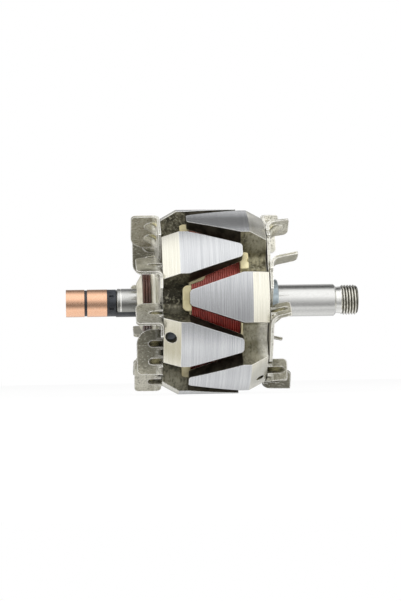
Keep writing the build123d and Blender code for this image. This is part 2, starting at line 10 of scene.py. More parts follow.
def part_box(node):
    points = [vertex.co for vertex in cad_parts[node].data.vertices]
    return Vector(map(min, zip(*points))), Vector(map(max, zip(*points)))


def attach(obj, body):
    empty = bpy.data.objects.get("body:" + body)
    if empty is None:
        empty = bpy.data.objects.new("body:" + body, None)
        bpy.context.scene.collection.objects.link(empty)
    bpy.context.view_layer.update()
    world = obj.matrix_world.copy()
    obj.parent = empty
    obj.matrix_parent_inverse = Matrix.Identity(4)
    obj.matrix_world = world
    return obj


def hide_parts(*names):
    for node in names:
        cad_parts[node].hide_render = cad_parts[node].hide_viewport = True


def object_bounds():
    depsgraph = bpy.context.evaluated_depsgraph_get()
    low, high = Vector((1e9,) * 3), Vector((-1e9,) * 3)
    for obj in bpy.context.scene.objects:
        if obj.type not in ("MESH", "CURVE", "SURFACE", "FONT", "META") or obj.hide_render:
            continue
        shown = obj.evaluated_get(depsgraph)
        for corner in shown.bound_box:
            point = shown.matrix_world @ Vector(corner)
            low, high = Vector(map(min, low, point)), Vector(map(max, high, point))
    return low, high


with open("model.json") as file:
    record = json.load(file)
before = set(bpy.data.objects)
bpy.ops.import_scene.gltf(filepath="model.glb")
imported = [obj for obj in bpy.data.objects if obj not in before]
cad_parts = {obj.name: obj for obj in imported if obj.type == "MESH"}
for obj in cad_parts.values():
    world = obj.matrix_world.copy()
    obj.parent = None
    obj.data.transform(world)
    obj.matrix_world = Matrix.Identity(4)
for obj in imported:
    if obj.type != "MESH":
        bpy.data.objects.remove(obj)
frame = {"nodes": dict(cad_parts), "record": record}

# The finished look of a claw-pole rotor. The scene is in metres; the object's own sizes and places are in
# millimetres. The shaft lies along X, its drive end at +X, and angles about it are counted from the -Y side
# upwards. Colours are linear. A pair named for a fade says where a mask starts and where it is full.
MM = 0.001
NODES = frame["nodes"]
CAD_LOW, CAD_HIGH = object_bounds()


def span(node):
    """Where a node starts and ends along the shaft, in millimetres."""
    low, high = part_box(node)
    return low[0] / MM, high[0] / MM


# The photograph's frame, in pixels, and the camera that its outlines fit
PHOTO_HEIGHT = 601
FOCAL_PIXELS = 1723.8
SENSOR_WIDTH = 36.0
CAMERA_DISTANCE = 917.9
CAMERA_YAW = radians(3.79)
CAMERA_ROLL = -0.0143
ROTOR_PHASE = radians(2.6)
AIM_POINT = (-5.39, 0, 0.69)

# Pole halves and fan sheet
POLE_RADIUS = CAD_HIGH[1] / MM
CHAMFER_START = 18.3
CHAMFER_SLOPE = 4.9 / 8.8
WEB_START = 13.8
FAN_SHEET = 30.6

# Shaft: places along it that its neighbours settle
SHAFT_TIP, DRIVE_END = span("shaft")
SPOOL_START = span("terminal_spool")[0]
STRIP_END = span("slip_ring_moulding")[1]
POLE_START = span("rear_pole")[0]
POLE_END = span("front_pole")[1]
SPACER_END = span("front_spacer")[1]

# Shaft: its own sizes
REAR_JOURNAL_START = SPOOL_START - 11.0
NECK_START = SPACER_END + 31.1
JOURNAL_CHAMFER = 0.9
RING_SEAT_RADIUS = 4.0
REAR_JOURNAL_RADIUS = 7.5
SPOOL_SEAT_RADIUS = 7.8
POLE_SEAT_RADIUS = 8.8
FAN_SEAT_RADIUS = 8.7
FRONT_JOURNAL_RADIUS = 8.5
NECK_RADIUS = 7.05
GROOVE_START = REAR_JOURNAL_START + 2.2
GROOVE_END = GROOVE_START + 0.6
GROOVE_WALL = 0.15
GROOVE_DEPTH = 0.12
STRIP_FLAT = -5.1
STRIP_STEP = 0.01
CENTRE_RADIUS = 2.2
TIP_CENTRE_DEPTH = 3.81
DRIVE_CENTRE_DEPTH = 3.8
AXIS_RADIUS = 0.02
SHAFT_STEPS = 160

# Thread
THREAD_PITCH = 1.5
THREAD_RADIUS = 8.0
THREAD_DEPTH = 0.85
THREAD_START = 69.3
THREAD_RUN_OUT = 1.2
THREAD_CHAMFER = 1.1
THREAD_CHAMFER_DEPTH = 1.0
THREAD_FLANK = 2.6
THREAD_ROOT = 0.12
THREAD_ROWS_START = 68.4
THREAD_ROWS_GAP = 0.1
THREAD_ROWS = 96

# Winding: the outer layer's turns lie side by side, a little unevenly
COIL_INNER_RADIUS = 25.6
COIL_STEPS = 192
TURN_PITCH = 1.15
TURN_POINTS = 7
TURN_SCATTER = 0.05
TURN_WOBBLE = 0.06
TURN_WAVES = 3
WINDING_SEED = 7

# Corners of a mesh that lie closer together than this become one, in metres
SHORTEST_EDGE = 0.0001 * MM


def add_object(name, mesh, material=None, body="root"):
    """A new piece in the scene that moves with a body."""
    piece = bpy.data.objects.new(name, mesh)
    bpy.context.scene.collection.objects.link(piece)
    if material:
        mesh.materials.append(material)
    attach(piece, body)
    return piece


def smooth(mesh, angle):
    """Shades a mesh smooth, apart from edges sharper than an angle in degrees."""
    for face in mesh.polygons:
        face.use_smooth = True
    mesh.set_sharp_from_angle(angle=radians(angle))


class Finish:
    """A procedural material, and short calls that add its nodes."""

    def __init__(self, name):
        self.material = bpy.data.materials.new(name)
        self.material.use_nodes = True
        self.tree = self.material.node_tree
        self.shader = self.tree.nodes["Principled BSDF"]
        place = self.add("ShaderNodeTexCoord").outputs["Object"]
        self.place = self.vector("SCALE", place, scale=1 / MM)
        self.x, self.y, self.z = self.add("ShaderNodeSeparateXYZ", Vector=self.place).outputs
        across = self.sum(self.product(self.y, self.y), self.product(self.z, self.z))
        self.radius = self.number("SQRT", across)

    def add(self, kind, settings=None, **inputs):
        """A node, with its settings, and its inputs as values or as sockets to link."""
        node = self.tree.nodes.new(kind)
        for key, value in (settings or {}).items():
            setattr(node, key, value)
        for key, value in inputs.items():
            self.plug(node.inputs[key.replace("_", " ")], value)
        return node

    def plug(self, socket, value):
        """Links a socket to another, or sets its value."""
        if isinstance(value, bpy.types.NodeSocket):
            self.tree.links.new(value, socket)
        elif isinstance(value, tuple) and len(value) == 3 and socket.type == "RGBA":
            socket.default_value = (*value, 1)
        else:
            socket.default_value = value

    def number(self, operation, *values):
        """A number from others."""
        node = self.add("ShaderNodeMath", {"operation": operation})
        for socket, value in zip(node.inputs, values):
            self.plug(socket, value)
        return node.outputs[0]

    def vector(self, operation, *values, scale=None):
        """A vector from others."""
        node = self.add("ShaderNodeVectorMath", {"operation": operation})
        for socket, value in zip(node.inputs, values):
            self.plug(socket, value)
        if scale is not None:
            self.plug(node.inputs["Scale"], scale)
        return node.outputs[0]

    def compare(self, operation, a, b):
        """A number from two vectors, such as their distance."""
        node = self.add("ShaderNodeVectorMath", {"operation": operation})
        self.plug(node.inputs[0], a)
        self.plug(node.inputs[1], b)
        return node.outputs["Value"]

    def sum(self, a, b):
        return self.number("ADD", a, b)

    def rest(self, share):
        """What a share leaves of one."""
        return self.number("SUBTRACT", 1.0, share)

    def product(self, first, *others):
        result = first
        for value in others:
            result = self.number("MULTIPLY", result, value)
        return result

    def range(self, value, low, high, to_low=0.0, to_high=1.0):
        """Maps low..high to another range, with soft ends."""
        node = self.add("ShaderNodeMapRange", {"interpolation_type": "SMOOTHSTEP"}, Value=value)
        for key, number in (("From Min", low), ("From Max", high), ("To Min", to_low), ("To Max", to_high)):
            self.plug(node.inputs[key], number)
        return node.outputs[0]

    def band(self, value, start, end):
        """1 between two fades, and 0 outside them."""
        return self.product(self.range(value, *start), self.range(value, *end))

    def noise(self, scale, detail, roughness, stretch=None):
        """Noise from 0 to 1, with its scale in waves per millimetre, over axes that may be stretched."""
        place = self.vector("MULTIPLY", self.place, stretch) if stretch else self.place
        return self.noise_at(place, scale, detail, roughness)

    def noise_at(self, place, scale, detail, roughness):
        """Noise from 0 to 1 over any place."""
        node = self.add("ShaderNodeTexNoise", Vector=place, Scale=scale, Detail=detail, Roughness=roughness)
        return node.outputs[0]

    def ring_noise(self, along, around=1.0):
        """Noise stretched round the shaft, for marks that a lathe leaves."""
        angle = self.number("ARCTAN2", self.z, self.y)
        place = self.add(
            "ShaderNodeCombineXYZ",
            X=self.product(self.x, along),
            Y=self.product(self.number("COSINE", angle), around),
            Z=self.product(self.number("SINE", angle), around),
        )
        return self.noise_at(place.outputs[0], 1.0, 2.0, 0.6)

    def mix(self, share, a, b):
        """A colour between two others."""
        node = self.add("ShaderNodeMix", {"data_type": "RGBA"})
        for number, value in ((0, share), (6, a), (7, b)):
            self.plug(node.inputs[number], value)
        return node.outputs[2]

    def patchy(self, noise, colors, low=0.3, high=0.7):
        """The first of two colours where a noise is low, and the second where it is high."""
        return self.mix(self.range(noise, low, high), *colors)

    def coat(self, color, over, *shares):
        """A colour with another over it, by the product of one or more shares."""
        return self.mix(self.product(*shares), color, over)

    def rounded(self, radius, samples):
        """The normal as if edges were rounded off by a radius in millimetres."""
        return self.add("ShaderNodeBevel", {"samples": samples}, Radius=radius * MM).outputs[0]

    def edges(self, width, low=0.02, high=0.25):
        """1 on the object's sharp edges, for a width in millimetres, and 0 elsewhere."""
        true = self.add("ShaderNodeNewGeometry").outputs["Normal"]
        turn = self.rest(self.compare("DOT_PRODUCT", self.rounded(width, 4), true))
        return self.range(turn, low, high)

    def near(self, place, reach):
        """1 round a place in millimetres, and 0 beyond a reach from it."""
        return self.range(self.compare("DISTANCE", self.place, place), reach, 0.4 * reach)

    def outward(self):
        """1 on faces that look away from the shaft, and 0 on those that look towards it."""
        spoke = self.vector("NORMALIZE", self.vector("MULTIPLY", self.place, (0.0, 1.0, 1.0)))
        facing = self.compare("DOT_PRODUCT", spoke, self.add("ShaderNodeNewGeometry").outputs["Normal"])
        return self.range(facing, -0.1, 0.15)

    def hollows(self, reach, low, high):
        """1 in grooves and inner corners, where the piece shuts itself in within a reach in millimetres."""
        settings = {"samples": 8, "only_local": True}
        node = self.add("ShaderNodeAmbientOcclusion", settings, Distance=reach * MM)
        return self.range(node.outputs["AO"], low, high)

    def bump(self, height, depth, rounding=0.0):
        """Relief with a depth in millimetres, over edges that are rounded off by a radius."""
        node = self.add("ShaderNodeBump", Height=height, Strength=1.0, Distance=depth * MM)
        if rounding:
            self.plug(node.inputs["Normal"], self.rounded(rounding, 6))
        self.plug(self.shader.inputs["Normal"], node.outputs[0])

    def surface(self, color, roughness, **constants):
        """Sets the shader's inputs and gives the finished material."""
        self.plug(self.shader.inputs["Base Color"], color)
        self.plug(self.shader.inputs["Roughness"], roughness)
        for key, value in constants.items():
            self.plug(self.shader.inputs[key.replace("_", " ")], value)
        return self.material


# Pole halves: colours
TURNED = ((0.58, 0.59, 0.61), (0.71, 0.72, 0.73))
# painted shade: a darker copy of the turned steel, used on the claw that faces the front
TURNED_SHADED = ((0.47, 0.48, 0.50), (0.64, 0.65, 0.66))
CHAMFERED = ((0.80, 0.78, 0.68), (0.90, 0.88, 0.80))
# painted shade: a darker grey for the turned chamfer low at the front
CHAMFERED_SHADED = (0.42, 0.42, 0.38)
# painted light and shade: one forged skin, darker on the rear pole's webs and lighter on the front pole's
REAR_WEB_SHADED = ((0.045, 0.041, 0.028), (0.23, 0.215, 0.15))
FRONT_WEB_LIT = ((0.095, 0.085, 0.052), (0.46, 0.43, 0.29))
# painted shade: the skin on the claw flanks, near black as in the deep gaps between claws
FLANK_SHADE = ((0.020, 0.017, 0.012), (0.075, 0.066, 0.046))
# painted light: pale skin for the places where the webs are lit
SKIN_LIGHT = (0.48, 0.46, 0.36)
# painted shade: a dark band across the rear pole's middle web
SKIN_SHADE_BAND = (0.03, 0.028, 0.02)
SKIN_PIT = (0.035, 0.031, 0.02)
# painted highlight: near white skin at the bright corner of the front pole
SKIN_CORNER_LIGHT = (0.93, 0.92, 0.85)
SKIN_GLINT = (0.46, 0.44, 0.33)
EDGE_WORN = (0.78, 0.77, 0.70)
# painted highlight: near white lines along the turned edges
EDGE_HIGHLIGHT = (0.97, 0.97, 0.95)
DRILLED = (0.24, 0.27, 0.32)
# painted shade: the darker band on the top claws
TOP_CLAW_SHADE = (0.22, 0.22, 0.21)

# Pole halves: places with a colour of their own, each with its reach, and fades. Apart from the drilled
# hole, these places hold painted light and painted shade.
LIGHT_PLACES = (
    ((22, -36, -20), 19), ((-21, -20, -42), 13), ((22, -30, 30), 9), ((-20, -32, 12), 10),
    ((-20, -33, -9), 7.5), ((26, -36, -27), 9),
)
# painted highlight on the front pole's web corner
LIT_CORNER = ((29, -31, -19), 18)
# painted shade on the turned claw that faces the front, where its reflection is darker
FRONT_CLAW_SHADE = ((4, -49, 0), 30)
# painted shade on the lower chamfer at the front
LOWER_CHAMFER_SHADE = ((26, -25, -40), 14)
DRILL_HOLE = ((-22.5, -34.5, -19), 4.5)
OUTSIDE_FADE = (POLE_RADIUS - 0.38, POLE_RADIUS - 0.2)
CHAMFER_FADE = (CHAMFER_START - 0.02, CHAMFER_START + 0.04)
WEB_FADE = (WEB_START - 0.5, WEB_START + 0.4)
LIT_CORNER_FADE = (20.5, 25.0)
# painted shade band on the rear pole's web, on its front side
SHADE_BAND_HEIGHT = 2.5
SHADE_BAND_WIDTH_FADE = (6.6, 4.0)
SHADE_BAND_ALONG_FADE = (-8, -12)
SHADE_BAND_FRONT_FADE = (0, -10)
# painted shade band on the turned steel of the top claws, on their front side
TOP_SHADE_LOWER_FADE = (35.5, 38)
TOP_SHADE_UPPER_FADE = (44.2, 41.6)
TOP_SHADE_FRONT_FADE = (0, -8)


def turned_masks(f, distance):
    """Two masks: the turned outside of the claws, and the turned chamfers at their backs."""
    outside = f.range(f.radius, *OUTSIDE_FADE)
    slant = f.product(f.number("SUBTRACT", distance, CHAMFER_START), -CHAMFER_SLOPE)
    below = f.sum(f.number("SUBTRACT", POLE_RADIUS, f.radius), slant)
    return outside, f.product(f.range(below, 0.38, 0.25), f.range(distance, *CHAMFER_FADE))


def forged_skin(f, distance, cloud, fine, corner_light):
    """Dark skin: blackest between the claws, as painted shade on the flanks; olive on the webs, painted
    darker on the rear pole and lighter on the front one, with places of painted light, a band of painted
    shade and a painted highlight at one corner.
    """
    # the rear webs carry painted shade and the front webs painted light
    rear = f.patchy(cloud, REAR_WEB_SHADED, 0.35, 0.68)
    front = f.patchy(cloud, FRONT_WEB_LIT, 0.35, 0.66)
    web = f.mix(f.range(f.x, -1, 1), rear, front)
    # painted light at the places where the webs are lit
    for place, reach in LIGHT_PLACES:
        web = f.coat(web, SKIN_LIGHT, f.near(place, reach), f.range(cloud, 0.3, 0.6, 0.6, 1.0))
    # painted shade: a band across the rear web in the valley between the claws
    height = f.number("ABSOLUTE", f.number("SUBTRACT", f.z, SHADE_BAND_HEIGHT))
    shade_band = f.product(f.range(f.x, *SHADE_BAND_ALONG_FADE), f.range(f.y, *SHADE_BAND_FRONT_FADE))
    web = f.coat(web, SKIN_SHADE_BAND, f.range(height, *SHADE_BAND_WIDTH_FADE, 0.0, 0.7), shade_band)
    pits = f.noise(0.75, 5.0, 0.62, (1.2, 0.6, 0.6))
    web = f.coat(web, SKIN_PIT, f.range(pits, 0.46, 0.7), 0.6)
    # painted highlight at the bright corner
    web = f.coat(web, SKIN_CORNER_LIGHT, corner_light)
    web = f.coat(web, SKIN_GLINT, f.range(fine, 0.5, 0.7), 0.7)
    # painted shade on the flanks between the claws
    flank_shade = f.patchy(cloud, FLANK_SHADE, 0.35, 0.68)
    return f.mix(f.range(distance, *WEB_FADE), flank_shade, web)


def pole_finish():
    """Turned outside, turned chamfers, and the dark skin of the forging everywhere else."""
    f = Finish("pole_steel")
    distance = f.number("ABSOLUTE", f.x)
    outside, chamfers = turned_masks(f, distance)
    machined = f.number("MAXIMUM", outside, chamfers)
    grooves = f.ring_noise(2.2)
    fine = f.noise(0.9, 4.0, 0.6)
    cloud = f.noise(0.22, 5.0, 0.65)
    # edge mask, for worn pale skin edges and for painted highlights on turned edges
    edge_wear_and_highlight = f.edges(0.7, 0.015, 0.16)
    cloudy = f.range(cloud, 0.3, 0.6, 0.55, 1.0)
    # painted highlight at the front pole's corner, broken up by a cloud
    corner_light = f.product(f.near(*LIT_CORNER), f.range(f.x, *LIT_CORNER_FADE), cloudy)

    skin = forged_skin(f, distance, cloud, fine, corner_light)
    skin = f.coat(skin, EDGE_WORN, edge_wear_and_highlight, f.range(fine, 0.3, 0.5))
    skin = f.coat(skin, DRILLED, f.near(*DRILL_HOLE))
    # painted shade: turned steel darkened round the claw that faces the front
    turned_shaded = f.patchy(grooves, TURNED_SHADED, 0.32, 0.68)
    turned = f.coat(f.patchy(grooves, TURNED), turned_shaded, f.near(*FRONT_CLAW_SHADE))
    # painted shade on the lower chamfer, from the dark grey above
    chamfered = f.coat(f.patchy(grooves, CHAMFERED), CHAMFERED_SHADED, f.near(*LOWER_CHAMFER_SHADE), 0.6)
    color = f.mix(outside, skin, turned)
    color = f.mix(chamfers, color, chamfered)
    # painted shade on the top claws, which mirror a darker part of the studio
    top_shaded = f.product(machined, f.range(f.y, *TOP_SHADE_FRONT_FADE, 0.0, 0.42))
    color = f.coat(color, TOP_CLAW_SHADE, f.band(f.z, TOP_SHADE_LOWER_FADE, TOP_SHADE_UPPER_FADE), top_shaded)
    # painted highlight along the turned edges
    color = f.coat(color, EDGE_HIGHLIGHT, edge_wear_and_highlight, machined, 0.75)

    f.bump(f.sum(f.product(grooves, machined, 0.35), f.product(fine, f.rest(machined))), 0.12, rounding=0.3)
    # metallic falls at the painted highlight, so that its pale colour shows
    metallic = f.range(f.product(corner_light, f.rest(machined)), 0, 1, 0.85, 0.2)
    return f.surface(color, f.range(machined, 0, 1, 0.55, 0.24), Metallic=metallic)


# Fans: colours
SHEET = ((0.24, 0.225, 0.165), (0.45, 0.43, 0.34))
SHEET_ROLLED = (0.56, 0.55, 0.48)
# painted light: a paler sheet for the disc, which catches light
SHEET_DISC_LIGHT = (0.82, 0.81, 0.74)
# painted light: a pale sheet for places where blades catch light
SHEET_LIGHT = (0.88, 0.86, 0.77)
# oil stains and painted shade: one dark sheet for both
SHEET_STAIN_AND_SHADE = (0.085, 0.08, 0.056)
SHEET_SPECK = (0.10, 0.092, 0.066)
SHEET_GLINT = (0.80, 0.79, 0.70)
# bare cut edges of the sheet, painted near white as a highlight
SHEET_CUT_EDGE_HIGHLIGHT = (0.96, 0.95, 0.91)
# painted shade in the gussets' hollows, and painted light deeper in them
GUSSET_SHADE = (0.07, 0.063, 0.04)
GUSSET_LIGHT = (0.88, 0.82, 0.52)

# Fans: places of painted light, and places darkened by oil stains and painted shade, each with its reach
FAN_LIGHT_PLACES = (
    ((-37, -12, -47), 15), ((34, 16, 42), 24), ((33, -14, 44), 14), ((-36, -46, -5), 13),
    ((-28.5, -22, 6), 20),
)
# oil stains, and painted shade where blades lie in shadow, such as the far upper rear blade
FAN_STAINS_AND_SHADE = (
    ((-33, -38, -22), 23), ((-34, -36, -33), 13), ((-36, -14, 34), 8), ((-37, 30, 27), 17),
    ((35, 5, -46), 14), ((-35, -45, 14), 7),
)
# painted light on the disc next to the pole
DISC_LIGHT_FADE = (FAN_SHEET + 0.8, FAN_SHEET - 0.4)


def fan_finish():
    """Rolled sheet with a low warm sheen, oily stains with painted shade, painted light on the disc and at
    pale places, gussets with painted shade and painted light in their hollows, and a painted highlight on
    the cut edges.
    """
    f = Finish("fan_steel")
    cloud = f.noise(0.12, 4.0, 0.6)
    rolled = f.noise(1.0, 3.0, 0.6, (0.4, 1.6, 1.6))
    speckle = f.noise(1.1, 2.0, 0.55)
    glints = f.noise(1.3, 2.0, 0.5, (0.5, 1.0, 1.7))
    outward = f.outward()
    cut_edge_highlight = f.edges(0.9, 0.012, 0.13)

    color = f.patchy(cloud, SHEET)
    color = f.coat(color, SHEET_ROLLED, f.range(rolled, 0.5, 0.8), 0.5)
    # painted light on the disc
    color = f.coat(color, SHEET_DISC_LIGHT, f.range(f.number("ABSOLUTE", f.x), *DISC_LIGHT_FADE), 0.6)
    # painted light at the first set of places, oil stains and painted shade at the second
    for paint, places in ((SHEET_LIGHT, FAN_LIGHT_PLACES), (SHEET_STAIN_AND_SHADE, FAN_STAINS_AND_SHADE)):
        for place, reach in places:
            color = f.coat(color, paint, f.near(place, reach), 0.75)
    color = f.coat(color, SHEET_SPECK, f.range(speckle, 0.48, 0.68), 0.55)
    color = f.coat(color, SHEET_GLINT, f.range(glints, 0.55, 0.72), 0.45)
    # painted shade and painted light in the hollows of the gussets, from how shut in they are
    color = f.coat(color, GUSSET_SHADE, outward, f.hollows(4.0, 0.86, 0.72))
    color = f.coat(color, GUSSET_LIGHT, outward, f.hollows(4.0, 0.66, 0.5))
    # painted highlight on the cut edges
    color = f.coat(color, SHEET_CUT_EDGE_HIGHLIGHT, cut_edge_highlight)
    f.bump(f.sum(rolled, f.product(speckle, 0.4)), 0.04, rounding=0.35)
    return f.surface(color, f.range(cloud, 0.3, 0.7, 0.28, 0.42), Metallic=f.range(cut_edge_highlight, 0, 1, 0.45, 0.15))


# Shaft: colours and fades
GROUND = ((0.74, 0.74, 0.72), (0.84, 0.84, 0.82))
GROUND_STREAK = (0.66, 0.65, 0.62)
GROUND_SHADE = (0.17, 0.17, 0.15)
# painted highlight: white in the journal groove
GROOVE_HIGHLIGHT = (1.0, 1.0, 0.98)
# painted light: a paler steel on the neck
NECK_LIGHT = (0.95, 0.95, 0.92)
# painted shade in the thread's roots and painted light on its crests
THREAD_SHADE_AND_LIGHT = ((0.15, 0.14, 0.11), (0.95, 0.94, 0.88))
SHADE_ALONG_FADE = (-33, -36)
SHADE_DOWN_FADE = (3.5, -2.0)
GROOVE_FADES = ((GROOVE_START - GROOVE_WALL, GROOVE_START), (GROOVE_END + GROOVE_WALL, GROOVE_END))
NECK_FADES = ((NECK_START, NECK_START + 0.2), (THREAD_START + 0.6, THREAD_START + 0.2))
THREAD_FADES = ((THREAD_START + 0.2, THREAD_START + 0.7), (DRIVE_END - 0.02, DRIVE_END - 0.1))
THREAD_SHADE_RADII = (7.15, 7.9)


def shaft_finish():
    """Fine rings on ground steel, a rear end with painted shade that darkens downwards, painted light on the
    neck, a painted highlight in the groove, and a thread with painted shade in its roots and painted light
    on its crests.
    """
    f = Finish("shaft_steel")
    rings = f.ring_noise(5.0, 8.0)
    streaks = f.ring_noise(0.8, 30.0)
    color = f.patchy(rings, GROUND)
    color = f.coat(color, GROUND_STREAK, f.range(streaks, 0.45, 0.75), 0.3)
    down = f.range(f.z, *SHADE_DOWN_FADE, 0.2, 0.74)
    color = f.coat(color, GROUND_SHADE, f.range(f.x, *SHADE_ALONG_FADE), down)
    # painted highlight in the groove
    color = f.coat(color, GROOVE_HIGHLIGHT, f.band(f.x, *GROOVE_FADES))
    # painted light on the neck
    color = f.coat(color, NECK_LIGHT, f.band(f.x, *NECK_FADES))
    # painted shade in the thread's roots and painted light on its crests, by radius
    color = f.coat(color, f.patchy(f.radius, THREAD_SHADE_AND_LIGHT, *THREAD_SHADE_RADII), f.band(f.x, *THREAD_FADES))
    f.bump(rings, 0.004)
    return f.surface(color, f.range(rings, 0.2, 0.8, 0.18, 0.26), Metallic=1.0)


# Smaller pieces: colours and fades
ZINC = ((0.36, 0.43, 0.48), (0.54, 0.62, 0.66))
# painted highlight along the spacer's edges
ZINC_EDGE_HIGHLIGHT = (0.88, 0.92, 0.94)
COPPER = ((0.90, 0.51, 0.32), (0.98, 0.62, 0.43))
COPPER_PALE = (0.99, 0.70, 0.53)
WINDING_RED = ((0.22, 0.018, 0.012), (0.42, 0.045, 0.03))
LEAD_BROWN = ((0.045, 0.019, 0.012), (0.115, 0.048, 0.03))
# painted light: a paler red on the top side of the wire
TOP_WIRE_LIGHT = (0.66, 0.19, 0.15)
TOP_WIRE_LIGHT_FADE = (-4, 14)
BOBBIN_IVORY = ((0.60, 0.52, 0.29), (0.82, 0.75, 0.47))
INSULATOR_BLACK = ((0.012, 0.014, 0.018), (0.035, 0.04, 0.05))
SPOOL_BEIGE = ((0.52, 0.49, 0.39), (0.72, 0.69, 0.58))
SLEEVE_TAN = ((0.42, 0.36, 0.20), (0.60, 0.54, 0.34))
# painted highlight: near white for the bright strip of the spool
PLASTIC_HIGHLIGHT = (0.97, 0.96, 0.87)
SPOOL_HIGHLIGHT_FADE = (-31.5, -30.5)
RING_SIDE_FADE = (2, -8)
SOLDER = ((0.40, 0.40, 0.38), (0.66, 0.66, 0.63))


def spacer_finish():
    """Bluish zinc with a painted highlight along its edges."""
    f = Finish("spacer_zinc")
    color = f.patchy(f.noise(0.35, 3.0, 0.6), ZINC)
    color = f.coat(color, ZINC_EDGE_HIGHLIGHT, f.edges(0.4))
    f.bump(f.ring_noise(3.0), 0.03)
    return f.surface(color, 0.3, Metallic=1.0)


def copper_finish():
    """Copper with the fine rings of the lathe and paler bands."""
    f = Finish("ring_copper")
    rings = f.ring_noise(5.5, 6.0)
    patches = f.ring_noise(0.6, 24.0)
    color = f.coat(f.patchy(rings, COPPER), COPPER_PALE, f.range(patches, 0.5, 0.8), 0.4)
    f.bump(rings, 0.005)
    return f.surface(color, f.range(patches, 0.3, 0.7, 0.22, 0.28), Metallic=1.0)


def enamel_finish(name, colors, rough, top_light):
    """Varnished copper wire, with a share of painted light on its top side."""
    f = Finish(name)
    fine = f.noise(1.4, 3.0, 0.6)
    color = f.patchy(f.noise(0.15, 4.0, 0.6), colors)
    color = f.coat(color, TOP_WIRE_LIGHT, f.range(f.z, *TOP_WIRE_LIGHT_FADE, 0.0, top_light))
    color = f.coat(color, tuple(0.35 * c for c in colors[0]), f.range(fine, 0.45, 0.8), 0.5)
    f.bump(fine, 0.04)
    return f.surface(color, rough, Metallic=0.25, Coat_Weight=0.5, Coat_Roughness=0.12)


def plastic_finish(name, colors, rough, ring_side_darkening=0.0, highlight_fade=None):
    """Moulded plastic with a fine grain, a share of darkening towards the rings, and a painted highlight
    after a fade.
    """
    f = Finish(name)
    fine = f.noise(2.2, 3.0, 0.6)
    color = f.patchy(f.noise(0.2, 4.0, 0.6), colors)
    # darker towards the rings, by a share
    color = f.coat(color, tuple(0.5 * c for c in colors[0]), f.range(f.x, *RING_SIDE_FADE, 0.0, ring_side_darkening))
    if highlight_fade:
        # painted highlight after the fade
        color = f.coat(color, PLASTIC_HIGHLIGHT, f.range(f.x, *highlight_fade, 0.0, 0.9))
    f.bump(fine, 0.05)
    return f.surface(color, f.range(fine, 0.2, 0.8, rough - 0.06, rough + 0.06))


def solder_finish():
    """Bright solder with a wavy skin."""
    f = Finish("solder")
    cloud = f.noise(0.8, 3.0, 0.6)
    f.bump(cloud, 0.08)
    return f.surface(f.mix(cloud, *SOLDER), 0.3, Metallic=1.0)


FINISHES = {
    "pole_steel": pole_finish(),
    "fan_steel": fan_finish(),
    "shaft_steel": shaft_finish(),
    "spacer_zinc": spacer_finish(),
    "ring_copper": copper_finish(),
    # the winding and the leads get a share of painted light on their top side
    "winding": enamel_finish("winding", WINDING_RED, 0.25, top_light=0.55),
    "lead_wire": enamel_finish("lead_wire", LEAD_BROWN, 0.2, top_light=0.07),
    "bobbin_plastic": plastic_finish("bobbin_plastic", BOBBIN_IVORY, 0.42, ring_side_darkening=0.55),
    "insulator": plastic_finish("insulator", INSULATOR_BLACK, 0.32),
    "spool_plastic": plastic_finish("spool_plastic", SPOOL_BEIGE, 0.4, highlight_fade=SPOOL_HIGHLIGHT_FADE),
    "sleeving": plastic_finish("sleeving", SLEEVE_TAN, 0.35),
    "solder": solder_finish(),
}


def dress_nodes():
    """Gives each CAD node the finish of its slot."""
    for part in frame["record"]["subparts"]:
        node = NODES[part["node"]]
        node.data.materials.clear()
        node.data.materials.append(FINISHES[part["material_slot"]])


def ring_at(x, radius):
    """A ring round the shaft: a function of the angle that gives (x, y, z) in millimetres."""
    def point(angle):
        return x, -radius * cos(angle), radius * sin(angle)
    return point


def revolved(name, rings, steps, loop=False):
    """A closed mesh over rings. The last joins the first in a loop; otherwise both are capped."""
    vertices = []
    faces = []
    for ring in rings:
        for step in range(steps):
            vertices.append([MM * c for c in ring(2 * pi * step / steps)])
    last = len(rings) - 1
    for row in range(len(rings) if loop else last):
        here = row * steps
        there = (row + 1) % len(rings) * steps
        for step in range(steps):
            after = (step + 1) % steps
            faces.append((here + step, there + step, there + after, here + after))
    if not loop:
        faces.append(list(range(steps)))
        faces.append([last * steps + step for step in reversed(range(steps))])
    mesh = bpy.data.meshes.new(name)
    mesh.from_pydata(vertices, [], faces)
    clean = bmesh.new()
    clean.from_mesh(mesh)
    bmesh.ops.dissolve_degenerate(clean, dist=SHORTEST_EDGE, edges=clean.edges)
    clean.to_mesh(mesh)
    clean.free()
    return mesh


def turn_ring(x, radius, wobble, phase):
    """A ring that wanders a little along the shaft."""
    def point(angle):
        return ring_at(x + wobble * sin(TURN_WAVES * angle + phase), radius)(angle)
    return point


def build_winding():
    """The field coil with its outer layer's turns."""
    low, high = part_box("field_coil")
    half = high[0] / MM
    outer = high[1] / MM
    rng = random.Random(WINDING_SEED)
    turns = round(2 * half / TURN_PITCH)
    pitch = 2 * half / turns
    wire = pitch / 2
    rings = [ring_at(-half, COIL_INNER_RADIUS)]
    for turn in range(turns):
        middle = -half + pitch * (turn + 0.5)
        top = outer - wire - rng.uniform(0, TURN_SCATTER)
        wobble = 0 if turn in (0, turns - 1) else TURN_WOBBLE
        phase = rng.uniform(0, 2 * pi)
        for step in range(TURN_POINTS):
            slant = pi * (step + 0.5) / TURN_POINTS
            rings.append(turn_ring(middle - wire * cos(slant), top + wire * sin(slant), wobble, phase))
    rings.append(ring_at(half, COIL_INNER_RADIUS))
    mesh = revolved("winding_turns", rings, COIL_STEPS, loop=True)
    smooth(mesh, 50)
    piece = add_object("winding_turns", mesh, FINISHES["winding"])
    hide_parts("field_coil")


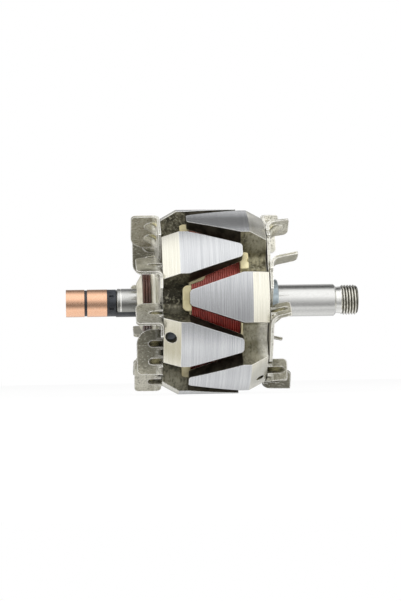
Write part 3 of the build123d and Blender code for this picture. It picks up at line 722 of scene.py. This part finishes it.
# The shaft from its tip to its thread, as (x, radius)
SHAFT_PROFILE = (
    (SHAFT_TIP + TIP_CENTRE_DEPTH, AXIS_RADIUS),
    (SHAFT_TIP, CENTRE_RADIUS),
    (SHAFT_TIP, RING_SEAT_RADIUS),
    (REAR_JOURNAL_START, RING_SEAT_RADIUS),
    (REAR_JOURNAL_START, REAR_JOURNAL_RADIUS - JOURNAL_CHAMFER),
    (REAR_JOURNAL_START + JOURNAL_CHAMFER, REAR_JOURNAL_RADIUS),
    (GROOVE_START, REAR_JOURNAL_RADIUS),
    (GROOVE_START + GROOVE_WALL, REAR_JOURNAL_RADIUS - GROOVE_DEPTH),
    (GROOVE_END - GROOVE_WALL, REAR_JOURNAL_RADIUS - GROOVE_DEPTH),
    (GROOVE_END, REAR_JOURNAL_RADIUS),
    (SPOOL_START, REAR_JOURNAL_RADIUS),
    (SPOOL_START, SPOOL_SEAT_RADIUS),
    (STRIP_END, SPOOL_SEAT_RADIUS),
    (STRIP_END + STRIP_STEP, SPOOL_SEAT_RADIUS),
    (POLE_START, SPOOL_SEAT_RADIUS),
    (POLE_START, POLE_SEAT_RADIUS),
    (POLE_END, POLE_SEAT_RADIUS),
    (POLE_END, FAN_SEAT_RADIUS),
    (SPACER_END, FAN_SEAT_RADIUS),
    (SPACER_END, FRONT_JOURNAL_RADIUS),
    (NECK_START - JOURNAL_CHAMFER, FRONT_JOURNAL_RADIUS),
    (NECK_START, FRONT_JOURNAL_RADIUS - JOURNAL_CHAMFER),
    (NECK_START, NECK_RADIUS),
    (THREAD_ROWS_START - THREAD_ROWS_GAP, NECK_RADIUS),
)


def shaft_ring(x, radius):
    """A ring of the shaft, level underneath where the lead strip lies."""
    ring = ring_at(x, radius)
    if not REAR_JOURNAL_START <= x <= STRIP_END:
        return ring

    def point(angle):
        x, y, z = ring(angle)
        return x, y, max(z, STRIP_FLAT)
    return point


def thread_ring(x):
    """A ring of the thread, which runs out at the neck and has a chamfer at the drive end."""
    def point(angle):
        turn = ((x - THREAD_START) / THREAD_PITCH + angle / (2 * pi)) % 1
        ridge = min(1.0, max(0.0, THREAD_FLANK * abs(turn - 0.5) - THREAD_ROOT))
        run_out = min(1.0, max(0.0, (x - THREAD_START) / THREAD_RUN_OUT))
        lead_in = min(1.0, max(0.0, (DRIVE_END - x) / THREAD_CHAMFER))
        crest = THREAD_RADIUS - THREAD_DEPTH * (1 - run_out) - THREAD_CHAMFER_DEPTH * (1 - lead_in)
        return ring_at(x, min(crest, THREAD_RADIUS - THREAD_DEPTH * (1 - ridge)))(angle)
    return point


def build_shaft():
    """The shaft with its thread, the groove in its rear journal and a lathe centre at each end."""
    rings = [shaft_ring(x, radius) for x, radius in SHAFT_PROFILE]
    length = DRIVE_END - THREAD_ROWS_START
    rings += [thread_ring(THREAD_ROWS_START + length * row / THREAD_ROWS) for row in range(THREAD_ROWS + 1)]
    rings += [ring_at(DRIVE_END, CENTRE_RADIUS), ring_at(DRIVE_END - DRIVE_CENTRE_DEPTH, AXIS_RADIUS)]
    mesh = revolved("shaft_with_thread", rings, SHAFT_STEPS)
    smooth(mesh, 30)
    piece = add_object("shaft_with_thread", mesh, FINISHES["shaft_steel"])
    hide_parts("shaft")


# Floor
FLOOR_HALF = 3.0
FLOOR_COLOR = (0.9, 0.9, 0.9, 1)
FLOOR_EMISSION = 0.93


def seen_by_camera_or_mirror(tree):
    """1 for rays from the camera, off a gloss or through a clear surface."""
    path = tree.nodes.new("ShaderNodeLightPath")
    total = path.outputs["Is Camera Ray"]
    for name in ("Is Glossy Ray", "Is Transmission Ray"):
        either = tree.nodes.new("ShaderNodeMath")
        either.operation = "MAXIMUM"
        tree.links.new(total, either.inputs[0])
        tree.links.new(path.outputs[name], either.inputs[1])
        total = either.outputs[0]
    return total


def floor_material():
    """Pale and matt, and close to white wherever the camera or a mirror sees it."""
    material = bpy.data.materials.new("floor")
    material.use_nodes = True
    tree = material.node_tree
    diffuse = tree.nodes["Principled BSDF"]
    diffuse.inputs["Base Color"].default_value = FLOOR_COLOR
    diffuse.inputs["Roughness"].default_value = 1.0
    diffuse.inputs["Specular IOR Level"].default_value = 0.0
    glow = tree.nodes.new("ShaderNodeEmission")
    glow.inputs["Strength"].default_value = 1.0
    share = tree.nodes.new("ShaderNodeMath")
    share.operation = "MULTIPLY"
    tree.links.new(seen_by_camera_or_mirror(tree), share.inputs[0])
    share.inputs[1].default_value = FLOOR_EMISSION
    mix = tree.nodes.new("ShaderNodeMixShader")
    tree.links.new(share.outputs[0], mix.inputs[0])
    tree.links.new(diffuse.outputs[0], mix.inputs[1])
    tree.links.new(glow.outputs[0], mix.inputs[2])
    tree.links.new(mix.outputs[0], tree.nodes["Material Output"].inputs[0])
    return material


def add_floor():
    """A square floor under the object's lowest point."""
    mesh = bpy.data.meshes.new("floor")
    z = CAD_LOW[2]
    h = FLOOR_HALF
    mesh.from_pydata([(-h, -h, z), (h, -h, z), (h, h, z), (-h, h, z)], [], [(0, 1, 2, 3)])
    mesh.materials.append(floor_material())
    floor = bpy.data.objects.new("floor", mesh)
    floor.visible_glossy = False
    bpy.context.scene.collection.objects.link(floor)


# What the metal mirrors: how bright the studio is round the shaft, from straight behind and below, over the
# front, to straight behind and above, as (degrees, brightness). STUDIO holds for mirrored directions that
# lean to the right, STUDIO_LEFT for the others, and STUDIO_SIDES, as (height, colour), far to either side.
STUDIO = (
    (-180, 0.4), (-150, 0.7), (-120, 0.86), (-96, 0.72), (-78, 0.62), (-58, 0.8), (-47, 0.5), (-38, 0.34),
    (-28, 0.44), (-20, 0.54), (-10, 0.68), (-3, 0.82), (4, 0.9), (12, 0.98), (20, 1.18), (34, 1.2),
    (62, 1.18), (76, 1.06), (86, 0.62), (94, 0.26), (102, 0.14), (112, 0.09), (122, 0.12), (132, 0.27),
    (143, 0.64), (160, 0.4), (180, 0.4),
)
STUDIO_LEFT = (
    (-180, 0.4), (-130, 1.0), (-100, 1.08), (-60, 1.2), (-46, 1.0), (-36, 0.6), (-27, 0.3), (-18, 0.15),
    (-6, 0.17), (4, 0.3), (14, 0.6), (24, 0.88), (36, 1.1), (46, 1.2), (76, 1.22), (96, 0.92), (107, 0.62),
    (118, 0.34), (126, 0.22), (136, 0.25), (160, 0.4), (180, 0.4),
)
STUDIO_SIDES = ((-0.75, (0.42, 0.39, 0.27)), (-0.2, (0.9, 0.89, 0.85)), (0.1, (1.12, 1.12, 1.08)))
LEFT_FADE = (0.045, 0.015)
SIDES_FADE = (0.35, 0.75)
FRONT_FADE = (-0.45, 0.0)
WHITE = (1, 1, 1, 1)
FILL_LEVEL = 0.55


class World:
    """A world, and short calls that add its nodes."""

    def __init__(self, name):
        world = bpy.data.worlds.new(name)
        bpy.context.scene.world = world
        world.use_nodes = True
        self.tree = world.node_tree

    def add(self, kind, *values, **settings):
        """A node, with its first inputs as values or as sockets to link."""
        node = self.tree.nodes.new(kind)
        for key, value in settings.items():
            setattr(node, key, value)
        for socket, value in zip(node.inputs, values):
            if isinstance(value, bpy.types.NodeSocket):
                self.tree.links.new(value, socket)
            else:
                socket.default_value = value
        return node

    def number(self, operation, *values):
        """A number from others."""
        return self.add("ShaderNodeMath", *values, operation=operation).outputs[0]

    def range(self, value, low, high):
        """0 at low and 1 at high, with soft ends."""
        node = self.add("ShaderNodeMapRange", value, low, high, interpolation_type="SMOOTHSTEP")
        return node.outputs[0]

    def ramp(self, share, stops, interpolation):
        """A colour from stops, each with its place from 0 to 1."""
        node = self.add("ShaderNodeValToRGB", share)
        node.color_ramp.interpolation = interpolation
        elements = node.color_ramp.elements
        for number, (place, color) in enumerate(stops):
            stop = elements[number] if number < 2 else elements.new(place)
            stop.position = place
            stop.color = (*color, 1)
        return node.outputs[0]

    def mix(self, share, a, b):
        """A colour between two others."""
        node = self.add("ShaderNodeMix", data_type="RGBA")
        for number, value in ((0, share), (6, a), (7, b)):
            self.tree.links.new(value, node.inputs[number])
        return node.outputs[2]


def studio_colors(world):
    """The colour of the studio by direction."""
    direction = world.add("ShaderNodeTexCoord").outputs["Generated"]
    x, y, z = world.add("ShaderNodeSeparateXYZ", direction).outputs
    forwards = world.number("MULTIPLY", y, -1.0)
    turn = world.number("MULTIPLY_ADD", world.number("ARCTAN2", z, forwards), 1 / (2 * pi), 0.5)
    around = []
    for levels in (STUDIO, STUDIO_LEFT):
        stops = [(degrees / 360 + 0.5, (level,) * 3) for degrees, level in levels]
        around.append(world.ramp(turn, stops, "EASE"))
    middle = world.mix(world.range(x, *LEFT_FADE), *around)
    sideways = world.range(world.number("ABSOLUTE", x), *SIDES_FADE)
    side = world.number("MULTIPLY", sideways, world.range(forwards, *FRONT_FADE))
    height = world.number("MULTIPLY_ADD", z, 0.5, 0.5)
    beyond = world.ramp(height, [(up / 2 + 0.5, color) for up, color in STUDIO_SIDES], "LINEAR")
    return world.mix(side, middle, beyond)


def add_world():
    """White to the camera, a studio with soft dark parts to the metal, and a plain fill for the rest."""
    world = World("studio")
    path = world.add("ShaderNodeLightPath")
    fill = world.add("ShaderNodeBackground", WHITE, FILL_LEVEL)
    studio = world.add("ShaderNodeBackground", studio_colors(world), 1.0)
    white = world.add("ShaderNodeBackground", WHITE, 1.0)
    lit = world.add("ShaderNodeMixShader", path.outputs["Is Glossy Ray"], fill.outputs[0], studio.outputs[0])
    clear = world.number("MAXIMUM", path.outputs["Is Camera Ray"], path.outputs["Is Transmission Ray"])
    seen = world.add("ShaderNodeMixShader", clear, lit.outputs[0], white.outputs[0])
    world.tree.links.new(seen.outputs[0], world.tree.nodes["World Output"].inputs[0])


# Lamps, as name, place, size and power, in metres and watts
LAMPS = (
    ("key", (-0.45, -0.75, 0.75), 0.7, 8.0),
    ("fill", (0.7, -0.6, 0.25), 0.6, 3.5),
    ("top", (0.1, 0.2, 0.9), 0.7, 1.5),
)


def add_lamp(name, place, size, power):
    """A square soft lamp that faces the middle of the object."""
    light = bpy.data.lights.new(name, "AREA")
    light.shape = "SQUARE"
    light.size = size
    light.energy = power
    lamp = bpy.data.objects.new(name, light)
    lamp.location = place
    lamp.rotation_euler = (-Vector(place)).to_track_quat("-Z", "Y").to_euler()
    lamp.visible_glossy = False
    bpy.context.scene.collection.objects.link(lamp)


def add_camera():
    """The camera from the photograph: nearly level, a little to the left and a little below the shaft."""
    view = Vector((sin(CAMERA_YAW), cos(CAMERA_YAW), 0))
    right = Vector((cos(CAMERA_YAW), -sin(CAMERA_YAW), 0))
    up = Vector((0, 0, 1))
    rolled_right = right * cos(CAMERA_ROLL) + up * sin(CAMERA_ROLL)
    rolled_up = up * cos(CAMERA_ROLL) - right * sin(CAMERA_ROLL)
    pose = Matrix((rolled_right, rolled_up, -view)).transposed().to_4x4()
    pose.translation = MM * (Vector(AIM_POINT) - view * CAMERA_DISTANCE)
    data = bpy.data.cameras.new("camera")
    data.sensor_width = SENSOR_WIDTH
    data.lens = FOCAL_PIXELS / PHOTO_HEIGHT * SENSOR_WIDTH
    camera = bpy.data.objects.new("camera", data)
    camera.matrix_world = Matrix.Rotation(ROTOR_PHASE, 4, "X") @ pose
    bpy.context.scene.collection.objects.link(camera)
    bpy.context.scene.camera = camera


dress_nodes()
build_winding()
build_shaft()
add_floor()
add_world()
for lamp in LAMPS:
    add_lamp(*lamp)
add_camera()
bpy.context.scene.view_settings.view_transform = "Standard"
